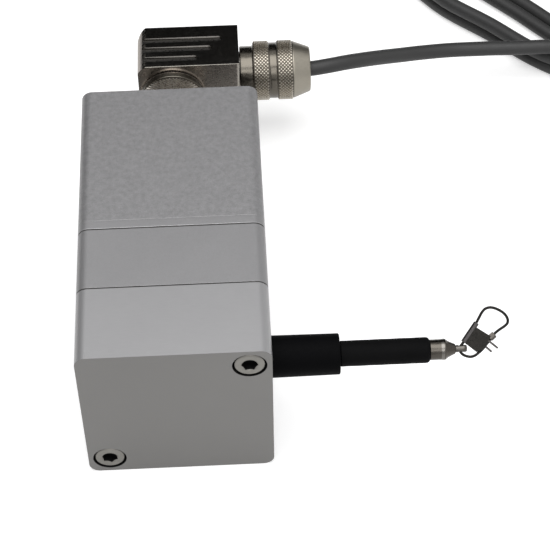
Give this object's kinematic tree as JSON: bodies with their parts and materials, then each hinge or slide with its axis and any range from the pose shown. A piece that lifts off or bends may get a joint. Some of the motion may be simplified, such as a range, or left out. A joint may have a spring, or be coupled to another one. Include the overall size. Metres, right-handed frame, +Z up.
{
  "type": "draw wire encoder",
  "caption": "Draw wire encoder: square anodised housing, spring-loaded wire drum, side nozzle with snap hook, rotary encoder and angled round connector with cable.",
  "frame": {"origin": "middle of the housing's base, which is the middle of the four base holes", "axes": "+Z up from the base; +X to the side the wire leaves from; +Y from the drum end to the connector end"},
  "size_m": [0.2378, 0.2762, 0.054],
  "materials": {
    "anodised_end_block": "satin",
    "anodised_block": "satin",
    "bare_aluminium": "satin",
    "screw_steel": "satin",
    "bearing_steel": "polished",
    "spring_steel": "satin",
    "gasket_rubber": "matte",
    "black_plastic": "matte",
    "nozzle_black": "satin",
    "bumper_rubber": "matte",
    "bush_polymer": "satin",
    "wiper_felt": "matte",
    "wire_steel": "satin",
    "ferrule_nickel": "satin",
    "snap_steel": "satin",
    "connector_nickel": "satin",
    "elbow_coat": "gloss",
    "contact_gold": "polished",
    "brass": "satin",
    "board_green": "gloss",
    "disc_film": "gloss",
    "cable_grey": "satin",
    "core_insulation": "matte",
    "lead_insulation": "matte",
    "tinned_copper": "satin"
  },
  "bodies": {
    "housing": {"drum_housing": "anodised_end_block", "front_gasket": "gasket_rubber", "spring_housing": "anodised_block", "rear_gasket": "gasket_rubber", "adapter_plate": "anodised_block", "encoder_housing": "anodised_block", "housing_screws": "screw_steel", "bearing_outer_rings": "bearing_steel", "bearing_balls": "bearing_steel", "spring_post": "bearing_steel", "spiral_spring": "spring_steel", "encoder_base": "bare_aluminium", "standoffs": "brass", "encoder_screws": "bearing_steel", "encoder_board": "board_green", "board_screws": "bearing_steel", "board_chips": "black_plastic", "light_source": "black_plastic", "optical_reader": "black_plastic", "encoder_cap": "black_plastic", "inner_wires": "core_insulation", "connector_socket": "connector_nickel", "socket_gasket": "gasket_rubber", "socket_nut": "connector_nickel", "socket_insert": "black_plastic", "contact_pins": "contact_gold", "plug_sleeve": "connector_nickel", "plug_insert": "black_plastic", "plug_contacts": "contact_gold", "elbow_housing": "elbow_coat", "gland_seal": "gasket_rubber", "clamp_ring": "bush_polymer", "cable_cores": "core_insulation", "nozzle": "nozzle_black", "nozzle_bush": "bush_polymer", "nozzle_wiper": "wiper_felt", "cable": "cable_grey", "cable_loops": "cable_grey", "cable_tie": "black_plastic", "lead_sleeve": "black_plastic", "lead_wires": "lead_insulation", "lead_tips": "tinned_copper"},
    "drum": {"wire_drum": "bare_aluminium", "drum_shaft": "bearing_steel", "wire_winding": "wire_steel", "bearing_inner_rings": "bearing_steel", "spring_arbor": "bare_aluminium", "shaft_coupling": "bare_aluminium", "encoder_shaft": "bearing_steel", "disc_hub": "bare_aluminium", "code_disc": "disc_film", "set_screws": "screw_steel"},
    "wire_end": {"measuring_wire": "wire_steel", "bumper_sleeve": "bumper_rubber", "ferrule": "ferrule_nickel"},
    "swivel": {"swivel_eye": "ferrule_nickel"},
    "snap": {"snap_wire": "snap_steel", "snap_clasp": "snap_steel"},
    "coupling_ring": {"coupling_ring": "connector_nickel"},
    "gland_nut": {"gland_nut": "connector_nickel"}
  },
  "joints": [
    {"name": "wire_pull", "type": "slide", "parent": "housing", "child": "wire_end", "axis": [1, 0, 0], "range_m": [0, 1], "stiffness_N_per_m": 2, "springref_m": -2, "deforming": ["measuring_wire"]},
    {"name": "drum_turn", "type": "hinge", "parent": "housing", "child": "drum", "pos_m": [0, 0, 0.027], "axis": [0, 1, 0], "range_deg": [0, 6001], "deforming": ["spiral_spring"]},
    {"name": "swivel_spin", "type": "hinge", "parent": "wire_end", "child": "swivel", "pos_m": [0.0765, -0.0402, 0.03655], "axis": [1, 0, 0], "continuous": true},
    {"name": "snap_swing", "type": "hinge", "parent": "swivel", "child": "snap", "pos_m": [0.0805, -0.0402, 0.03655], "axis": [0, 0.7955, 0.606], "range_deg": [-75, 75]},
    {"name": "coupling_ring_turn", "type": "hinge", "parent": "housing", "child": "coupling_ring", "pos_m": [0, 0.07, 0.027], "axis": [0, 1, 0], "range_deg": [0, 900]},
    {"name": "gland_nut_turn", "type": "hinge", "parent": "housing", "child": "gland_nut", "pos_m": [0.034, 0.0863, 0.027], "axis": [1, 0, 0], "range_deg": [0, 1080]}
  ],
  "couplings": [
    {"joint": "drum_turn", "follows": "wire_pull", "rad_per_m": 104.72}
  ]
}
